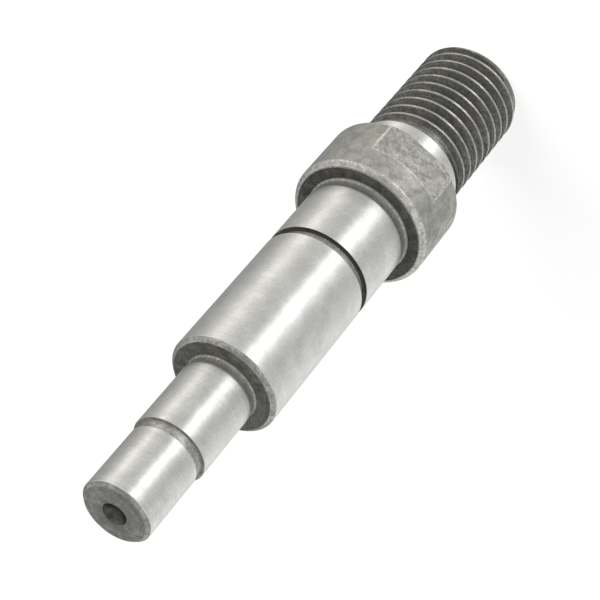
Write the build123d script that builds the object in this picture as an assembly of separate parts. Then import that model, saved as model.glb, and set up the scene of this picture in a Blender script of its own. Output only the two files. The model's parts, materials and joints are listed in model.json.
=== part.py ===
from build123d import *
from math import radians, tan
import os

# A stepped shaft turned from one bar. It stands on its threaded end: the origin is the
# centre of that end face, and Z runs up the axis to the small end. Millimetres.

# Lengths along the axis, in order from the threaded end to the small end
thread_length = 20.2
neck_length = 1.0
shank_length = 2.75
collar_length = 10.85
big_seat_length = 34.6
small_seat_length = 11.7
ring_groove_length = 1.3
journal_length = 10.1

# Diameters, in the same order
thread_diameter = 16.0
neck_diameter = 14.84
shank_diameter = 16.0
collar_diameter = 20.0
big_seat_diameter = 15.0
small_seat_diameter = 10.0
ring_groove_diameter = 9.0
journal_diameter = 9.4

# Metric coarse thread, right-handed: crests turned down for a free fit, 60 degree groove
thread_pitch = 2.0
thread_crest_diameter = 15.8
thread_flank_angle = 30.0
thread_depth = 0.61343 * thread_pitch
groove_width = 7 / 8 * thread_pitch
thread_start_angle = -42.5
thread_end_chamfer = 1.25

# The last turns by the neck run out shallow: the root rises to the neck's diameter
runout_length = 1.0
runout_taper_length = 2.0

# Two opposite spanner flats, open towards the thread
flats_across = 17.0
flats_length = 6.35

# Oil groove round the big seat, measured up from the collar
oil_groove_diameter = 13.5
oil_groove_width = 1.4
oil_groove_height = 11.1

# Grinding relief at the foot of each ground seat: 45 degree corner, floor and ramp
relief_depth = 0.2
relief_ramp_angle = 15.0
big_relief_width = 1.6
small_relief_width = 1.4

# Edge chamfers, all at 45 degrees
collar_thread_side_chamfer = 0.95
collar_seat_side_chamfer = 0.65
big_seat_chamfer = 0.6
journal_chamfer = 0.5

# Centre holes that the shaft is turned and ground between: a pilot and a 60 degree cone
centre_half_angle = 30.0
small_end_pilot = 1.6
small_end_mouth = 3.35
small_end_hole_depth = 4.0
thread_end_pilot = 3.15
thread_end_mouth = 6.7
thread_end_hole_depth = 8.0

# How far a cutting tool reaches past the metal it takes away
overcut = 1.0

# Heights where one section ends and the next begins
shank_bottom = thread_length + neck_length
collar_bottom = shank_bottom + shank_length
big_seat_bottom = collar_bottom + collar_length
small_seat_bottom = big_seat_bottom + big_seat_length
ring_groove_bottom = small_seat_bottom + small_seat_length
journal_bottom = ring_groove_bottom + ring_groove_length
shaft_top = journal_bottom + journal_length


def section(diameter, bottom, length):
    """A plain turned length of the bar."""
    standing = (Align.CENTER, Align.CENTER, Align.MIN)
    return Pos(0, 0, bottom) * Cylinder(diameter / 2, length, align=standing)


def chamfer_bottom(part, size):
    rim = part.edges().filter_by(GeomType.CIRCLE).sort_by(Axis.Z)[0]
    return chamfer(rim, size)


def chamfer_top(part, size):
    rim = part.edges().filter_by(GeomType.CIRCLE).sort_by(Axis.Z)[-1]
    return chamfer(rim, size)


def turned(outline):
    """Spins a closed outline, drawn as radius and height, about the axis."""
    return revolve(Plane.XZ * make_face(outline), Axis.Z)


def thread_groove():
    """The helical groove, from below the end face up past the last turn."""
    flank_slope = tan(radians(thread_flank_angle))
    nominal_radius = thread_diameter / 2
    root_radius = nominal_radius - thread_depth
    outer_radius = nominal_radius + (nominal_radius - thread_crest_diameter / 2)
    start = -thread_pitch
    height = thread_length + 2 * thread_pitch

    corners = []
    for radius, side in (
        (root_radius, -1),
        (root_radius, 1),
        (outer_radius, 1),
        (outer_radius, -1),
    ):
        half_width = groove_width / 2 - (nominal_radius - radius) * flank_slope
        corners.append(Pos(0, 0, start + side * half_width) * Helix(thread_pitch, height, radius))

    faces = []
    for first, second in zip(corners, corners[1:] + corners[:1]):
        faces.append(Face.make_surface_from_curves(first.edge(), second.edge()))
    for end in (0, 1):
        outline = Polyline(*[corner @ end for corner in corners], close=True)
        faces.append(make_face(outline).face())
    return Solid(Shell(faces))


def threaded_end():
    blank = section(thread_crest_diameter, 0, thread_length)
    blank = chamfer_bottom(blank, thread_end_chamfer)
    return Rot(0, 0, thread_start_angle) * (blank - thread_groove())


def thread_core():
    """What lies under the thread: a core that widens to the neck beneath the last turns."""
    core_radius = thread_diameter / 2 - thread_depth - (thread_diameter - thread_crest_diameter)
    outline = Polyline(
        (0, thread_end_chamfer),
        (core_radius, thread_end_chamfer),
        (core_radius, thread_length - runout_length - runout_taper_length),
        (neck_diameter / 2, thread_length - runout_length),
        (neck_diameter / 2, shank_bottom),
        (0, shank_bottom),
        close=True,
    )
    return turned(outline)


def spanner_flats():
    """What is milled off the two sides of the collar."""
    depth = (collar_diameter - flats_across) / 2 + overcut
    offset = (flats_across + depth) / 2
    standing = (Align.CENTER, Align.CENTER, Align.MIN)
    slab = Box(collar_diameter, depth, flats_length, align=standing)
    return [Pos(0, side * offset, collar_bottom) * slab for side in (-1, 1)]


def collar():
    """The collar that a spanner holds, chamfered on both sides."""
    blank = section(collar_diameter, collar_bottom, collar_length)
    blank = chamfer_bottom(blank, collar_thread_side_chamfer)
    blank = chamfer_top(blank, collar_seat_side_chamfer)
    return blank - spanner_flats()


def grinding_relief(seat_diameter, shoulder, width):
    """The undercut at the foot of a seat, so that a wheel can grind up to the shoulder."""
    seat_radius = seat_diameter / 2
    floor_radius = seat_radius - relief_depth
    ramp_length = relief_depth / tan(radians(relief_ramp_angle))
    outline = Polyline(
        (seat_radius, shoulder),
        (floor_radius, shoulder + relief_depth),
        (floor_radius, shoulder + width - ramp_length),
        (seat_radius, shoulder + width),
        (seat_radius + overcut, shoulder + width),
        (seat_radius + overcut, shoulder),
        close=True,
    )
    return turned(outline)


def oil_groove():
    bottom = big_seat_bottom + oil_groove_height
    ring = section(big_seat_diameter + overcut, bottom, oil_groove_width)
    return ring - section(oil_groove_diameter, bottom, oil_groove_width)


def big_seat():
    """The long ground seat, with its oil groove and the relief at its foot."""
    blank = section(big_seat_diameter, big_seat_bottom, big_seat_length)
    blank = chamfer_top(blank, big_seat_chamfer)
    relief = grinding_relief(big_seat_diameter, big_seat_bottom, big_relief_width)
    return blank - oil_groove() - relief


def small_seat():
    """The short ground seat, with the relief at its foot."""
    blank = section(small_seat_diameter, small_seat_bottom, small_seat_length)
    return blank - grinding_relief(small_seat_diameter, small_seat_bottom, small_relief_width)


def journal():
    """The small end, a little under the short seat's diameter."""
    blank = section(journal_diameter, journal_bottom, journal_length)
    return chamfer_top(blank, journal_chamfer)


def centre_hole(pilot, mouth, depth):
    """A centre drill's hole, with its mouth at the origin and running down."""
    slope = tan(radians(centre_half_angle))
    cone_depth = (mouth - pilot) / 2 / slope
    tip_length = pilot / 2 * slope
    outline = Polyline(
        (0, 0),
        (mouth / 2, 0),
        (pilot / 2, -cone_depth),
        (pilot / 2, -depth),
        (0, -depth - tip_length),
        close=True,
    )
    return turned(outline)


def stepped_shaft():
    """All the turned sections in one piece, with a centre hole in each end."""
    shank = section(shank_diameter, shank_bottom, shank_length)
    ring_groove = section(ring_groove_diameter, ring_groove_bottom, ring_groove_length)
    sections = [shank, collar(), big_seat(), small_seat(), ring_groove, journal(), threaded_end()]
    shaft = thread_core()
    for part in sections:
        shaft = shaft + part

    small_hole = centre_hole(small_end_pilot, small_end_mouth, small_end_hole_depth)
    thread_hole = centre_hole(thread_end_pilot, thread_end_mouth, thread_end_hole_depth)
    return shaft - Pos(0, 0, shaft_top) * small_hole - Rot(180, 0, 0) * thread_hole


os.makedirs("parts", exist_ok=True)
export_step(stepped_shaft(), "parts/stepped_shaft.step")
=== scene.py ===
import bpy
import json
import math
from mathutils import Matrix, Vector


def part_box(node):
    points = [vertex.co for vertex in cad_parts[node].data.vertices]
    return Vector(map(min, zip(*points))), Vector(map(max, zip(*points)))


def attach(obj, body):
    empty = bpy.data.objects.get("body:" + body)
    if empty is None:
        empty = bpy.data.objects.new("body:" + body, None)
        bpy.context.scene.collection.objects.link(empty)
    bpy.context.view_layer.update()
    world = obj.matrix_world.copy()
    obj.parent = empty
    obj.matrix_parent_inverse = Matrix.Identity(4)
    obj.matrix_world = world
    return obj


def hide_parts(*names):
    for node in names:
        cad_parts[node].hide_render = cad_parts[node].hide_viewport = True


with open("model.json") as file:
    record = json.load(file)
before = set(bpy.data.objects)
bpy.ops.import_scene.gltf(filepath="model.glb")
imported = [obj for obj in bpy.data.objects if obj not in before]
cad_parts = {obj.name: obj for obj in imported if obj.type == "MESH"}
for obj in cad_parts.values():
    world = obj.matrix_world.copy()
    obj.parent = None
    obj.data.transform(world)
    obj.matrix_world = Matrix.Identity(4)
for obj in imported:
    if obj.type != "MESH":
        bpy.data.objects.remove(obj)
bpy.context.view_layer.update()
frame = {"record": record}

mm = 0.001
close = 0.01 * mm  # nearer than this is the same place
mounts = {mount["name"]: mount for mount in frame["record"]["mounts"]}


def mountHeight(name):
    return mounts[name]["pos_m"][2]


def mountRadius(name):
    return mounts[name]["dims"]["r_mm"] * mm


def mountSpan(name):  # where a seat's wall starts and ends
    half = mounts[name]["dims"]["length_mm"] * mm / 2
    return mountHeight(name) - half, mountHeight(name) + half


# Shaft: most radii and heights come from the frame, the small cuts from here
shaft = {
    "columns": 160,                 # faces round the axis, the same in every length
    "neckRadius": 7.42 * mm,
    "neckBottom": 20.2 * mm,
    "neckTop": 21.2 * mm,
    "collarFootChamfer": 0.95 * mm,
    "collarHeadChamfer": 0.65 * mm,
    "bigSeatChamfer": 0.6 * mm,
    "journalChamfer": 0.5 * mm,
    "reliefDepth": 0.2 * mm,
    "reliefRamp": 15.0,             # slope by which a relief's floor comes up to its seat
    "oilGrooveRadius": 6.75 * mm,
    "smallPilotRadius": 0.8 * mm,   # centre hole in the small end
    "smallMouthRadius": 1.675 * mm,
    "smallHoleDepth": 4.0 * mm,
    "threadPilotRadius": 1.575 * mm,  # centre hole in the threaded end
    "threadMouthRadius": 3.35 * mm,
    "threadHoleDepth": 8.0 * mm,
    "centreAngle": 30.0,            # half of a centre drill's cone
    "edgeBreak": 0.07 * mm,         # what a stone leaves on an edge
    "collarEdgeBreak": 0.14 * mm,
    "sharpAngle": 12.0,             # rings that turn by more than this are stoned
    "smoothAngle": 32.0,            # faces that meet by less than this shade as one
}

bottom, top = (corner[2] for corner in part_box("stepped_shaft"))
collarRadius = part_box("stepped_shaft")[1][0]
shankRadius = mountRadius("locating_shank")
bigRadius = mountRadius("big_seat_above_groove")
smallRadius = mountRadius("small_seat")
journalRadius = mountRadius("journal")
ringGrooveRadius = mountRadius("ring_groove")
collarFoot = mountHeight("collar_thread_side_face")
collarHead = mountHeight("collar_seat_face")
shoulder = mountHeight("shoulder_face")
bigFoot, oilGrooveFoot = mountSpan("big_seat_below_groove")
oilGrooveHead, bigHead = mountSpan("big_seat_above_groove")
smallFoot, smallHead = mountSpan("small_seat")
journalFoot, journalHead = mountSpan("journal")

# Spanner flats: two slabs milled off the collar, then the edges rounded, with a painted highlight
# along them
flats = {
    "height": 6.35 * mm,        # up from the collar's foot
    "edgeBreak": 0.2 * mm,
    "rubbed": 0.2 * mm,         # width of the painted highlight band along each edge
    "cutter": 3.0 * mm,         # how thick the slab is, and how far it reaches below the collar
}
flatDistance = abs(mounts["flat_front"]["pos_m"][1])
flatTop = collarFoot + flats["height"]

# Thread: one pitch of its section, screwed round the axis
thread = {
    "pitch": 2.0 * mm,
    "nominalRadius": 8.0 * mm,
    "depth": 0.61343 * 2.0 * mm,   # 0.61343 of the pitch, as in any metric thread
    "flankAngle": 30.0,
    "grooveWidth": 1.75 * mm,      # at the nominal radius
    "startAngle": -42.5,           # where the groove's centre crosses one pitch below the end face
    "endChamfer": 1.25 * mm,
    "plainEnd": 0.1 * mm,          # height at which the thread's mesh takes over from the end face
    "underRoot": 0.2 * mm,         # how far the core lies below the root
    "runoutStart": 17.2 * mm,      # the root starts to rise here
    "runoutEnd": 19.2 * mm,        # and has risen to the neck here
    "crestBreak": 0.05 * mm,
    "rootRound": 0.12 * mm,
    "flankRows": 5,
    "turns": 13,
}
crestRadius = mountRadius("thread")
chamferFoot = crestRadius - thread["endChamfer"]


def selectOnly(obj):
    if bpy.context.object and bpy.context.object.mode != "OBJECT":
        bpy.ops.object.mode_set(mode="OBJECT")
    bpy.ops.object.select_all(action="DESELECT")
    obj.select_set(True)
    bpy.context.view_layer.objects.active = obj


def drawOutline(name, corners):  # corners are (radius, height); stays in edit mode, all selected
    bpy.ops.object.select_all(action="DESELECT")
    bpy.ops.mesh.primitive_plane_add(size=mm)
    obj = bpy.context.object
    obj.name = name
    bpy.ops.object.mode_set(mode="EDIT")
    bpy.ops.mesh.select_mode(type="VERT")
    bpy.ops.mesh.select_all(action="SELECT")
    bpy.ops.mesh.merge(type="CENTER")
    here = (0.0, 0.0)
    for count, corner in enumerate(corners):
        step = {"value": (corner[0] - here[0], 0, corner[1] - here[1])}
        if count == 0:
            bpy.ops.transform.translate(**step)
        else:
            bpy.ops.mesh.extrude_vertices_move(TRANSFORM_OT_translate=step)
        here = corner
    bpy.ops.mesh.select_all(action="SELECT")
    return obj


def selectEdges(obj, wanted):  # wanted gets an edge's two ends; from edit mode and back to it
    bpy.ops.mesh.select_all(action="DESELECT")
    bpy.ops.mesh.select_mode(type="EDGE")
    bpy.ops.object.mode_set(mode="OBJECT")
    points = obj.data.vertices
    for edge in obj.data.edges:
        edge.select = wanted(*[points[index].co for index in edge.vertices])
    bpy.ops.object.mode_set(mode="EDIT")


def roundEdges(width):  # the selected ones
    bpy.ops.mesh.bevel(offset=width, segments=2, profile=0.5, affect="EDGES", clamp_overlap=True)


def breakSharpEdges(obj, low, high, width):  # rounds the sharp rings between two heights
    bpy.ops.mesh.select_all(action="DESELECT")
    bpy.ops.mesh.select_mode(type="EDGE")
    bpy.ops.mesh.edges_select_sharp(sharpness=math.radians(shaft["sharpAngle"]))
    bpy.ops.object.mode_set(mode="OBJECT")
    points = obj.data.vertices
    for edge in obj.data.edges:
        ends = [points[index].co.z for index in edge.vertices]
        if not low < sum(ends) / 2 < high:
            edge.select = False
    bpy.ops.object.mode_set(mode="EDIT")
    roundEdges(width)


def turnOutline(name, corners):
    obj = drawOutline(name, corners)
    bpy.ops.mesh.spin(steps=shaft["columns"], angle=math.tau, center=(0, 0, 0), axis=(0, 0, 1))
    bpy.ops.mesh.select_all(action="SELECT")
    bpy.ops.mesh.remove_doubles(threshold=close / 10)
    return obj


def centreHole(face, pilot, mouth, depth, inwards):  # from the mouth to the drill's tip
    slope = math.tan(math.radians(shaft["centreAngle"]))
    coneDepth = (mouth - pilot) / slope
    tip = pilot * slope
    return [
        (mouth, face),
        (pilot, face + inwards * coneDepth),
        (pilot, face + inwards * depth),
        (0.0, face + inwards * (depth + tip)),
    ]


def relief(radius, foot, seatStart):  # the undercut between a shoulder and its seat
    depth = shaft["reliefDepth"]
    ramp = depth / math.tan(math.radians(shaft["reliefRamp"]))
    return [
        (radius, foot),
        (radius - depth, foot + depth),
        (radius - depth, seatStart - ramp),
        (radius, seatStart),
    ]


def makeUpperShaft():
    foot, head = shaft["collarFootChamfer"], shaft["collarHeadChamfer"]
    bigEdge, journalEdge = shaft["bigSeatChamfer"], shaft["journalChamfer"]
    corners = [
        (shaft["neckRadius"], shaft["neckBottom"]),
        (shaft["neckRadius"], shaft["neckTop"]),
        (shankRadius, shaft["neckTop"]),
        (shankRadius, collarFoot),
        (collarRadius - foot, collarFoot),
        (collarRadius, collarFoot + foot),
        (collarRadius, flatTop + flats["rubbed"]),
        (collarRadius, collarHead - head),
        (collarRadius - head, collarHead),
        *relief(bigRadius, collarHead, bigFoot),
        (bigRadius, oilGrooveFoot),
        (shaft["oilGrooveRadius"], oilGrooveFoot),
        (shaft["oilGrooveRadius"], oilGrooveHead),
        (bigRadius, oilGrooveHead),
        (bigRadius, shoulder - bigEdge),
        (bigRadius - bigEdge, shoulder),
        *relief(smallRadius, shoulder, smallFoot),
        (smallRadius, smallHead),
        (ringGrooveRadius, smallHead),
        (ringGrooveRadius, journalFoot),
        (journalRadius, journalFoot),
        (journalRadius, top - journalEdge),
        (journalRadius - journalEdge, top),
        *centreHole(
            top, shaft["smallPilotRadius"], shaft["smallMouthRadius"], shaft["smallHoleDepth"], -1
        ),
    ]
    obj = turnOutline("turned_shaft", corners)
    belowCollar = collarFoot - shaft["reliefDepth"]
    aboveCollar = collarHead + shaft["reliefDepth"] / 2
    belowNeck = shaft["neckTop"] - shaft["reliefDepth"]
    breakSharpEdges(obj, belowNeck, belowCollar, shaft["edgeBreak"])
    breakSharpEdges(obj, belowCollar, aboveCollar, shaft["collarEdgeBreak"])
    breakSharpEdges(obj, aboveCollar + shaft["reliefDepth"] / 4, top + mm, shaft["edgeBreak"])
    bpy.ops.object.mode_set(mode="OBJECT")
    return obj


def makeThreadEnd():
    hole = centreHole(
        bottom, shaft["threadPilotRadius"], shaft["threadMouthRadius"], shaft["threadHoleDepth"], 1
    )
    corners = hole[::-1] + [
        (chamferFoot, bottom),
        (chamferFoot + thread["plainEnd"], bottom + thread["plainEnd"]),
    ]
    obj = turnOutline("thread_end", corners)
    breakSharpEdges(obj, bottom - mm, shaft["neckBottom"], shaft["edgeBreak"])
    bpy.ops.object.mode_set(mode="OBJECT")
    return obj


def roundCorner(before, corner, after, size):  # three points in place of a corner
    toBefore = (Vector(before) - Vector(corner)).normalized() * size
    toAfter = (Vector(after) - Vector(corner)).normalized() * size
    corner = Vector(corner)
    return [corner + toBefore, corner + (toBefore + toAfter) / 4, corner + toAfter]


def threadSection():  # (offset from the groove's centre, radius) over one pitch
    slope = math.tan(math.radians(thread["flankAngle"]))
    rootRadius = thread["nominalRadius"] - thread["depth"]
    crestHalf = thread["grooveWidth"] / 2 - (thread["nominalRadius"] - crestRadius) * slope
    rootHalf = thread["grooveWidth"] / 2 - thread["depth"] * slope
    middle = (-thread["pitch"] / 2, crestRadius)
    crest = (-crestHalf, crestRadius)
    root = (-rootHalf, rootRadius)
    centre = (0.0, rootRadius)
    crestPoints = roundCorner(middle, crest, root, thread["crestBreak"])
    rootPoints = roundCorner(crest, root, centre, thread["rootRound"])
    rows = thread["flankRows"]
    shares = [(row + 1) / (rows + 1) for row in range(rows)]
    flank = [crestPoints[-1].lerp(rootPoints[0], share) for share in shares]
    half = [Vector(middle), *crestPoints, *flank, *rootPoints]
    mirrored = [Vector((-point.x, point.y)) for point in reversed(half)]
    return half + [Vector(centre)] + mirrored


def grooveHeight(angle):  # of one groove's centre at an angle round the axis
    return thread["pitch"] * ((angle - math.radians(thread["startAngle"])) / math.tau - 1)


def threadRadius(section, angle, height):
    pitch = thread["pitch"]
    offset = (height - grooveHeight(angle) + pitch / 2) % pitch - pitch / 2
    for low, high in zip(section, section[1:]):
        if offset <= high.x:
            share = (offset - low.x) / (high.x - low.x)
            return low.y + share * (high.y - low.y)
    return section[-1].y


def makeThread():
    section = threadSection()
    start = grooveHeight(0.0) - thread["pitch"]
    corners = [(point.y, start + point.x) for point in section]
    obj = drawOutline("thread", corners)
    bpy.ops.object.mode_set(mode="OBJECT")
    screw = obj.modifiers.new("screw", "SCREW")
    screw.axis = "Z"
    screw.angle = math.tau
    screw.screw_offset = thread["pitch"]
    screw.iterations = thread["turns"]
    screw.steps = screw.render_steps = shaft["columns"]
    bpy.ops.object.modifier_apply(modifier="screw")

    low = bottom + thread["plainEnd"]
    high = shaft["neckBottom"]
    core = thread["nominalRadius"] - thread["depth"] - thread["underRoot"]
    rise = shaft["neckRadius"] - core
    taper = thread["runoutEnd"] - thread["runoutStart"]
    for point in obj.data.vertices:  # the ends are cut flat, chamfered, and the root runs out
        angle = math.atan2(point.co.y, point.co.x)
        height = min(max(point.co.z, low), high)
        share = min(max((height - thread["runoutStart"]) / taper, 0), 1)
        cut = min(threadRadius(section, angle, height), chamferFoot + height)
        radius = max(cut, core + rise * share)
        point.co = (radius * math.cos(angle), radius * math.sin(angle), height)

    selectOnly(obj)
    bpy.ops.object.mode_set(mode="EDIT")
    bpy.ops.mesh.select_all(action="SELECT")
    bpy.ops.mesh.remove_doubles(threshold=close / 10)
    # The rim by the neck turns in to the neck's radius
    selectEdges(obj, lambda first, second: min(first.z, second.z) > high - close / 100)
    bpy.ops.mesh.extrude_edges_move(TRANSFORM_OT_translate={"value": (0, 0, 0)})
    bpy.ops.object.mode_set(mode="OBJECT")
    for point in obj.data.vertices:
        if point.select:
            angle = math.atan2(point.co.y, point.co.x)
            point.co.x = shaft["neckRadius"] * math.cos(angle)
            point.co.y = shaft["neckRadius"] * math.sin(angle)
    return obj


def weld(obj, others):
    selectOnly(obj)
    for other in others:
        other.select_set(True)
    bpy.ops.object.join()
    bpy.ops.object.mode_set(mode="EDIT")
    bpy.ops.mesh.select_all(action="SELECT")
    bpy.ops.mesh.remove_doubles(threshold=close / 5)
    bpy.ops.mesh.select_all(action="SELECT")
    bpy.ops.mesh.normals_make_consistent(inside=False)
    bpy.ops.object.mode_set(mode="OBJECT")
    return obj


def isRubbed(first, second):  # an edge up a flat's side, or of the arc where it runs out
    ends = (first, second)
    near = close / 2
    low, high = sorted(end.z for end in ends)
    onFlat = all(abs(abs(end.y) - flatDistance) < near for end in ends)
    upright = abs(first.x - second.x) < 0.2 * (high - low)
    side = onFlat and upright and low > collarFoot - near and high < flatTop + near
    onArc = all(
        abs(end.z - flatTop) < near and math.hypot(end.x, end.y) > collarRadius - near
        and abs(end.y) > flatDistance - near
        for end in ends
    )
    return side or onArc


def millFlats(obj):
    slab = flats["cutter"]
    height = flats["height"] + slab
    for side in (-1, 1):
        bpy.ops.object.select_all(action="DESELECT")
        bpy.ops.mesh.primitive_cube_add(
            size=1,
            location=(0, side * (flatDistance + slab / 2), flatTop - height / 2),
            scale=(3 * collarRadius, slab, height),
        )
        cutter = bpy.context.object
        bpy.ops.object.transform_apply(location=True, rotation=True, scale=True)
        cut = obj.modifiers.new("flat", "BOOLEAN")
        cut.operation = "DIFFERENCE"
        cut.solver = "EXACT"
        cut.object = cutter
        selectOnly(obj)
        bpy.ops.object.modifier_apply(modifier="flat")
        bpy.data.objects.remove(cutter, do_unlink=True)
    bpy.ops.object.mode_set(mode="EDIT")
    selectEdges(obj, isRubbed)
    roundEdges(flats["edgeBreak"])
    bpy.ops.object.mode_set(mode="OBJECT")


body = makeUpperShaft()
endFace = makeThreadEnd()
threadMesh = makeThread()
body = weld(body, [endFace, threadMesh])
print("turned", len(body.data.polygons), "faces")
millFlats(body)
print("milled", len(body.data.polygons), "faces")

selectOnly(body)
bpy.ops.object.shade_smooth_by_angle(angle=math.radians(shaft["smoothAngle"]))
weighted = body.modifiers.new("weighted", "WEIGHTED_NORMAL")
weighted.keep_sharp = True
bpy.ops.object.modifier_apply(modifier="weighted")

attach(body, "root")
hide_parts("stepped_shaft")


def linear(hexColour):  # sRGB hex to the linear colour that the nodes take
    parts = [int(hexColour[place:place + 2], 16) / 255 for place in (1, 3, 5)]
    parts = [part / 12.92 if part <= 0.04045 else ((part + 0.055) / 1.055) ** 2.4 for part in parts]
    return (*parts, 1.0)


def addNode(tree, kind, values=None, links=None, stops=None, **settings):
    node = tree.nodes.new(kind)
    for name, value in settings.items():
        setattr(node, name, value)
    for socket, value in (values or {}).items():
        node.inputs[socket].default_value = value
    for socket, source in (links or {}).items():
        tree.links.new(source, node.inputs[socket])
    if stops:  # a ramp's places, each with a grey or a colour
        elements = node.color_ramp.elements
        while len(elements) < len(stops):
            elements.new(0.5)
        for element, (place, colour) in zip(elements, stops):
            element.position = place
            element.color = colour if isinstance(colour, tuple) else (colour, colour, colour, 1)
    return node


# Steel finishes, by how each surface was made; some colours also hold painted shade or a painted
# highlight, as marked at each finish. Colours run from the clean metal to its stains, and roughness
# from the clean places to the dull ones. Patch, ring and grain are sizes in mm across: patches of
# oil and handling are a millimetre or two, and the tooth of blasting 0.3 mm. Turning and grinding
# leave marks 0.02 to 0.1 mm apart, too fine to show, so rings are drawn at 0.16 to 0.25 mm. A tone
# is how much a mark lightens and darkens the colour, a depth is its height in mm.
finishes = {
    "groundSteel": {            # cylindrical grinding: near mirror round the axis, smeared along it
        "colour": "#d9d9d5", "stain": "#cfceca", "roughness": (0.29, 0.33), "anisotropic": 0.8,
        "patch": 2.2, "ring": 0.16, "ringTone": 0.06, "ringDepth": 0.0003,
        "grain": 0.3, "grainTone": 0.08, "grainDepth": 0.0,
    },
    "facedSteel": {             # end faces, faced on a lathe: dull grey with faint rings
        "colour": "#c0bfba", "stain": "#a6a5a0", "roughness": (0.42, 0.58), "anisotropic": 0.4,
        "patch": 1.2, "ring": 0.22, "ringTone": 0.2, "ringDepth": 0.004,
        "grain": 0.25, "grainTone": 0.2, "grainDepth": 0.004,
    },
    "reliefSteel": {            # reliefs, groove floors and seat chamfers: turned, streaked round
        "colour": "#bbbab5", "stain": "#a09f9a", "roughness": (0.4, 0.55), "anisotropic": 0.5,
        "patch": 0.8, "ring": 0.16, "ringTone": 0.3, "ringDepth": 0.004,
        "grain": 0.25, "grainTone": 0.2, "grainDepth": 0.003,
    },
    "turnedSteel": {            # shoulder and neck, turned, their colour darkened as painted shade
        "colour": "#969590", "stain": "#7a7974", "roughness": (0.4, 0.55), "anisotropic": 0.3,
        "patch": 1.0, "ring": 0.2, "ringTone": 0.25, "ringDepth": 0.004,
        "grain": 0.25, "grainTone": 0.2, "grainDepth": 0.004,
    },
    "oiledSteel": {             # groove walls and the face of the collar: painted shade, a darker colour
        "colour": "#7f7e7a", "stain": "#646360", "roughness": (0.38, 0.52), "anisotropic": 0.3,
        "patch": 1.2, "ring": 0.25, "ringTone": 0.3, "ringDepth": 0.003,
        "grain": 0.25, "grainTone": 0.15, "grainDepth": 0.003,
    },
    "drilledSteel": {           # centre holes: painted shade, a dark colour inside the holes
        "colour": "#605f5a", "stain": "#4a4945", "roughness": (0.35, 0.5), "anisotropic": 0.0,
        "patch": 0.8, "ring": 0.2, "ringTone": 0.2, "ringDepth": 0.003,
        "grain": 0.25, "grainTone": 0.15, "grainDepth": 0.003,
    },
    "blastedSteel": {           # the collar, blasted after hardening: satin grey with a fine tooth
        "colour": "#b5b4ae", "stain": "#9e9d97", "roughness": (0.5, 0.62), "anisotropic": 0.0,
        "patch": 1.6, "ring": 0.4, "ringTone": 0.0, "ringDepth": 0.0,
        "grain": 0.3, "grainTone": 0.14, "grainDepth": 0.012,
    },
    "milledSteel": {            # the flats, milled and then blasted with the collar
        "colour": "#a9a8a2", "stain": "#94938d", "roughness": (0.5, 0.62), "anisotropic": 0.0,
        "patch": 0.8, "ring": 0.4, "ringTone": 0.0, "ringDepth": 0.0,
        "grain": 0.3, "grainTone": 0.2, "grainDepth": 0.02,
    },
    "threadSteel": {            # cut thread: the flanks get painted shade, a darker colour than the crests
        "colour": "#807f7a", "stain": "#6c6b67", "roughness": (0.38, 0.52), "anisotropic": 0.3,
        "patch": 0.9, "ring": 0.16, "ringTone": 0.3, "ringDepth": 0.004,
        "grain": 0.2, "grainTone": 0.4, "grainDepth": 0.006,
    },
    "edgeSteel": {              # edges of the collar and its flats: painted highlight, a near white colour
        "colour": "#d9d8d2", "stain": "#b5b4ae", "roughness": (0.36, 0.5), "anisotropic": 0.0,
        "patch": 0.5, "ring": 0.2, "ringTone": 0.05, "ringDepth": 0.0,
        "grain": 0.3, "grainTone": 0.3, "grainDepth": 0.004,
    },
    "chamferSteel": {           # the collar's chamfers: turned, and lightened as a painted highlight
        "colour": "#d0cfc9", "stain": "#b3b2ac", "roughness": (0.36, 0.5), "anisotropic": 0.3,
        "patch": 0.7, "ring": 0.2, "ringTone": 0.1, "ringDepth": 0.001,
        "grain": 0.25, "grainTone": 0.25, "grainDepth": 0.003,
    },
    "crestSteel": {             # thread crests and the end chamfer: painted highlight, lighter than the flanks
        "colour": "#b7b6b0", "stain": "#a09f99", "roughness": (0.36, 0.5), "anisotropic": 0.3,
        "patch": 0.7, "ring": 0.2, "ringTone": 0.1, "ringDepth": 0.001,
        "grain": 0.25, "grainTone": 0.2, "grainDepth": 0.003,
    },
}


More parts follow.
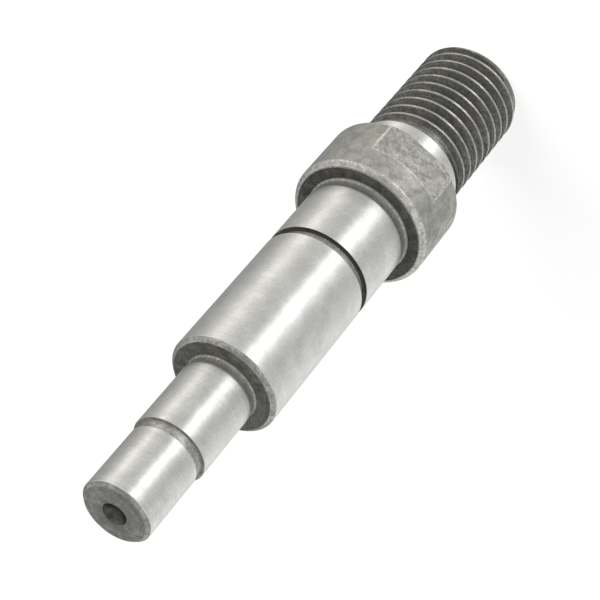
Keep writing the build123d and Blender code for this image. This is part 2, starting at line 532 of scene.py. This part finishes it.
def makeSteel(name, finish):
    material = bpy.data.materials.new(name)
    material.use_nodes = True
    tree = material.node_tree
    tree.nodes.clear()
    where = addNode(tree, "ShaderNodeTexCoord")
    place = where.outputs["Object"]
    parts = addNode(tree, "ShaderNodeSeparateXYZ", links={0: place})
    back = addNode(
        tree, "ShaderNodeMath", {1: -1.0}, {0: parts.outputs["Y"]}, operation="MULTIPLY"
    )
    around = addNode(  # the way round the axis
        tree, "ShaderNodeCombineXYZ", links={"X": back.outputs[0], "Y": parts.outputs["X"]}
    )
    radius = addNode(
        tree, "ShaderNodeVectorMath", links={0: around.outputs[0]}, operation="LENGTH"
    )
    section = addNode(  # rings read only radius and height, so they run round the axis
        tree, "ShaderNodeCombineXYZ",
        links={"X": radius.outputs["Value"], "Y": parts.outputs["Z"]},
    )

    patterns = {}
    for mark, vector, detail, distortion in (
        ("ring", section.outputs[0], 2.0, 0.0),
        ("grain", place, 4.0, 0.0),
        ("patch", place, 3.0, 0.6),
    ):
        patterns[mark] = addNode(
            tree, "ShaderNodeTexNoise",
            {"Scale": 1 / (finish[mark] * mm), "Detail": detail, "Distortion": distortion},
            {"Vector": vector},
        ).outputs[0]
    spread = {}  # a pattern brought to the range that its use needs, cut off at both ends
    for use, mark, low, high, share in (
        ("stain", "patch", 0, 1, 0.15),
        ("roughness", "patch", *finish["roughness"], 0.15),
        ("ringTone", "ring", 1 - finish["ringTone"], 1 + finish["ringTone"], 0.2),
        ("grainTone", "grain", 1 - finish["grainTone"], 1 + finish["grainTone"], 0.2),
    ):
        spread[use] = addNode(
            tree, "ShaderNodeMapRange",
            {"From Min": 0.5 - share, "From Max": 0.5 + share, "To Min": low, "To Max": high},
            {"Value": patterns[mark]},
        ).outputs[0]

    base = addNode(
        tree, "ShaderNodeMix", {6: linear(finish["colour"]), 7: linear(finish["stain"])},
        {0: spread["stain"]}, data_type="RGBA",
    )
    tone = addNode(
        tree, "ShaderNodeMath",
        links={0: spread["ringTone"], 1: spread["grainTone"]}, operation="MULTIPLY",
    )
    colour = addNode(
        tree, "ShaderNodeVectorMath", links={0: base.outputs[2], "Scale": tone.outputs[0]},
        operation="SCALE",
    )
    ringBump = addNode(
        tree, "ShaderNodeBump", {"Strength": 1.0, "Distance": finish["ringDepth"] * mm},
        {"Height": patterns["ring"]},
    )
    grainBump = addNode(
        tree, "ShaderNodeBump", {"Strength": 1.0, "Distance": finish["grainDepth"] * mm},
        {"Height": patterns["grain"], "Normal": ringBump.outputs[0]},
    )
    shader = addNode(
        tree, "ShaderNodeBsdfPrincipled",
        {
            "Metallic": 1.0,
            "Anisotropic": finish["anisotropic"],
            "Anisotropic Rotation": 0.25,  # the marks run round, so the light smears along
        },
        {
            "Base Color": colour.outputs[0],
            "Roughness": spread["roughness"],
            "Normal": grainBump.outputs[0],
            "Tangent": around.outputs[0],
        },
    )
    addNode(tree, "ShaderNodeOutputMaterial", links={"Surface": shader.outputs[0]})
    return material


slots = {}
for name, finish in finishes.items():
    slots[name] = len(body.data.materials)
    body.data.materials.append(makeSteel(name, finish))

seats = [  # radius, foot and head of each ground length
    (shankRadius, shaft["neckTop"], collarFoot),
    (bigRadius, bigFoot, oilGrooveFoot),
    (bigRadius, oilGrooveHead, bigHead),
    (smallRadius, smallFoot, smallHead),
    (journalRadius, journalFoot, journalHead),
]
seatReach = 0.16 * mm  # how far a seat's finish goes on over its stoned edges
seatDepth = 0.05 * mm


def collarFinish(face):
    side = abs(face.center.y)
    height = face.center.z
    tilt = abs(face.normal.z)
    outward = Vector((face.center.x, face.center.y, 0)).normalized().dot(face.normal)
    if abs(face.normal.y) > 0.9999 and abs(side - flatDistance) < close:
        return "milledSteel"
    if tilt > 0.99 or outward > 0.9995:  # the barrel, and the wall where a flat runs out
        # Painted highlight: a band beside each flat and just above its arc
        beside = height < flatTop and side > flatDistance - flats["rubbed"]
        above = flatTop < height < flatTop + flats["rubbed"] and side > flatDistance - close
        return "edgeSteel" if beside or above else "blastedSteel"
    # Painted highlight: the turned chamfers are lightened, and the rounded edges near white
    return "chamferSteel" if abs(tilt - math.sqrt(0.5)) < 0.01 else "edgeSteel"


def finishOf(face):
    height = face.center.z
    radius = math.hypot(face.center.x, face.center.y)
    # Painted shade: the centre holes get a dark colour
    if radius < shaft["smallMouthRadius"] + close and height > shoulder:
        return "drilledSteel"
    if height < close / 10:
        return "facedSteel"
    if radius < shaft["threadMouthRadius"] + close and height < shaft["neckBottom"]:
        return "drilledSteel"
    if height < shaft["neckBottom"] - close:
        # Painted highlight on the crests and the end chamfer, painted shade on the flanks
        bright = height < thread["endChamfer"] or radius > crestRadius - close
        return "crestSteel" if bright else "threadSteel"
    for seat, foot, head in seats:
        if abs(radius - seat) < seatDepth and foot - seatReach < height < head + seatReach:
            return "groundSteel"
    if height > top - seatDepth:
        return "facedSteel"
    # Painted shade: the neck and the shoulder face get a dark colour
    if height < shaft["neckTop"] + close or abs(height - shoulder) < close:
        return "turnedSteel"
    if collarFoot - close < height < collarHead - close and radius > shankRadius:
        return collarFinish(face)
    # Painted shade: the collar's face and the oil groove's walls get a dark colour
    inOilGroove = oilGrooveFoot - close < height < oilGrooveHead + close
    if abs(height - collarHead) < close or inOilGroove and abs(face.normal.z) > 0.7:
        return "oiledSteel"
    return "reliefSteel"


for face in body.data.polygons:
    face.material_index = slots[finishOf(face)]
used = [face.material_index for face in body.data.polygons]
print("finished", {name: used.count(slot) for name, slot in slots.items()})

# Stage: a white floor that keeps the shadow
stage = {
    "size": 3.0,
    "colour": "#f2f2f0",
    "glow": 0.86,           # share of plain white in what the camera sees of the floor
}
bpy.ops.object.select_all(action="DESELECT")
bpy.ops.mesh.primitive_plane_add(size=stage["size"], location=(0, 0, bottom))
floor = bpy.context.object
floor.name = "floor"
floor.visible_glossy = False  # the steel shows the tent in its place
paper = bpy.data.materials.new("whitePaper")
paper.use_nodes = True
tree = paper.node_tree
tree.nodes.clear()
matt = addNode(tree, "ShaderNodeBsdfDiffuse", {"Color": linear(stage["colour"])})
glow = addNode(tree, "ShaderNodeEmission", {"Color": (1, 1, 1, 1), "Strength": 1.0})
path = addNode(tree, "ShaderNodeLightPath")
share = addNode(
    tree, "ShaderNodeMath", {1: stage["glow"]}, {0: path.outputs["Is Camera Ray"]},
    operation="MULTIPLY",
)
both = addNode(
    tree, "ShaderNodeMixShader",
    links={0: share.outputs[0], 1: matt.outputs[0], 2: glow.outputs[0]},
)
addNode(tree, "ShaderNodeOutputMaterial", links={"Surface": both.outputs[0]})
floor.data.materials.append(paper)

# Light tent: what the steel shows. Walls of the shaft see the ring of panels below the
# horizon, by bearing, which is 0 towards the camera and grows to its left
tent = {
    "strength": 2.0,
    "panels": [
        (-180, 0.22), (-140, 0.20), (-115, 0.27), (-97, 0.38),
        (-84, (0.57, 0.56, 0.53, 1)),       # a warm side panel
        (-73, (0.74, 0.73, 0.70, 1)),
        (-60, (0.52, 0.512, 0.49, 1)),
        (-48, 0.41), (-29, 0.37), (-18, 0.41), (-10, 0.56),
        (-4, 0.95), (9, 1.0), (17, 0.90),   # the white panel in front
        (24, 0.62), (31, 0.48), (40, 0.39), (55, 0.33),
        (70, 0.37), (84, 0.43), (100, 0.46), (115, 0.52), (140, 0.52), (180, 0.22),
    ],
    "roof": [(0.1, 0.26), (0.4, 0.23), (0.63, 0.20), (0.8, 0.08), (1.0, 0.04)],  # by height
    "frontBand": [(0.2, 0.0), (0.5, 0.28), (0.82, 0.28), (0.92, 0.0)],  # seen by the chamfers
    "sides": 0.16,          # added to the roof at both sides, seen by the thread's flanks
}
world = bpy.data.worlds.new("lightTent")
world.use_nodes = True
bpy.context.scene.world = world
tree = world.node_tree
tree.nodes.clear()
where = addNode(tree, "ShaderNodeTexCoord")
parts = addNode(tree, "ShaderNodeSeparateXYZ", links={0: where.outputs["Generated"]})
flipX, flipY = [
    addNode(tree, "ShaderNodeMath", {1: -1.0}, {0: parts.outputs[axis]}, operation="MULTIPLY")
    for axis in ("X", "Y")
]
turn = addNode(
    tree, "ShaderNodeMath", links={0: flipX.outputs[0], 1: flipY.outputs[0]}, operation="ARCTAN2"
)
bearing = addNode(
    tree, "ShaderNodeMapRange", {"From Min": -math.pi, "From Max": math.pi},
    {"Value": turn.outputs[0]},
)
panels = addNode(
    tree, "ShaderNodeValToRGB", links={0: bearing.outputs[0]},
    stops=[((degrees + 180) / 360, colour) for degrees, colour in tent["panels"]],
)
roof = addNode(tree, "ShaderNodeValToRGB", links={0: parts.outputs["Z"]}, stops=tent["roof"])
band = addNode(tree, "ShaderNodeValToRGB", links={0: parts.outputs["Z"]}, stops=tent["frontBand"])
front = addNode(
    tree, "ShaderNodeMapRange", {"From Min": -0.1, "From Max": 0.4}, {"Value": flipY.outputs[0]}
)
band = addNode(
    tree, "ShaderNodeVectorMath", links={0: band.outputs[0], "Scale": front.outputs[0]},
    operation="SCALE",
)
across = addNode(tree, "ShaderNodeMath", links={0: parts.outputs["X"]}, operation="ABSOLUTE")
sides = addNode(
    tree, "ShaderNodeMapRange", {"From Min": 0.3, "From Max": 0.7, "To Max": tent["sides"]},
    {"Value": across.outputs[0]},
)
for added in (band, sides):
    roof = addNode(
        tree, "ShaderNodeVectorMath", links={0: roof.outputs[0], 1: added.outputs[0]},
        operation="ADD",
    )
rise = addNode(  # from the panels to the roof
    tree, "ShaderNodeMapRange", {"From Min": -0.1, "From Max": 0.25}, {"Value": parts.outputs["Z"]},
    interpolation_type="SMOOTHSTEP",
)
seen = addNode(
    tree, "ShaderNodeMix", links={0: rise.outputs[0], 6: panels.outputs[0], 7: roof.outputs[0]},
    data_type="RGBA",
)
light = addNode(
    tree, "ShaderNodeBackground", {"Strength": tent["strength"]}, {"Color": seen.outputs[2]}
)
white = addNode(tree, "ShaderNodeBackground", {"Color": (1, 1, 1, 1), "Strength": 1.0})
path = addNode(tree, "ShaderNodeLightPath")
sky = addNode(  # the camera sees plain white
    tree, "ShaderNodeMixShader",
    links={0: path.outputs["Is Camera Ray"], 1: light.outputs[0], 2: white.outputs[0]},
)
addNode(tree, "ShaderNodeOutputWorld", links={"Surface": sky.outputs[0]})

lamp = {  # lights the floor and casts the shaft's shadow
    "size": 1.0,
    "power": 40.0,
    "place": (0.95, -0.3, 0.5),
    "aim": (0, 0, 0.04),
}
bpy.ops.object.light_add(type="AREA", location=lamp["place"])
key = bpy.context.object
key.name = "softbox"
key.data.shape = "SQUARE"
key.data.size = lamp["size"]
key.data.energy = lamp["power"]
key.visible_glossy = False
key.rotation_mode = "QUATERNION"
aim = Vector(lamp["aim"]) - Vector(lamp["place"])
key.rotation_quaternion = aim.to_track_quat("-Z", "Y")

# Camera: looks down on the small end, rolled so that the shaft lies across the view
view = {
    "azimuth": 2.678,
    "elevation": 39.056,
    "roll": 140.09,
    "target": (-0.553 * mm, -0.026 * mm, 51.0 * mm),
    "distance": 229.3 * mm,
    "lens": 107.27,
    "sensor": 36.0,
    "clipStart": 0.01,
}
azimuth, elevation, roll = (math.radians(view[name]) for name in ("azimuth", "elevation", "roll"))
level = Vector((math.cos(azimuth), math.sin(azimuth), 0))
away = Vector((math.sin(azimuth), -math.cos(azimuth), 0))
back = away * math.cos(elevation) + Vector((0, 0, math.sin(elevation)))
up = math.cos(roll) * back.cross(level) + math.sin(roll) * level
right = up.cross(back)
bpy.ops.object.camera_add()
camera = bpy.context.object
place = Vector(view["target"]) + back * view["distance"]
turned = Matrix((right, up, back)).transposed().to_4x4()
camera.matrix_world = Matrix.Translation(place) @ turned
camera.data.lens = view["lens"]
camera.data.sensor_width = view["sensor"]
camera.data.clip_start = view["clipStart"]
bpy.context.scene.camera = camera
bpy.context.scene.view_settings.view_transform = "Standard"
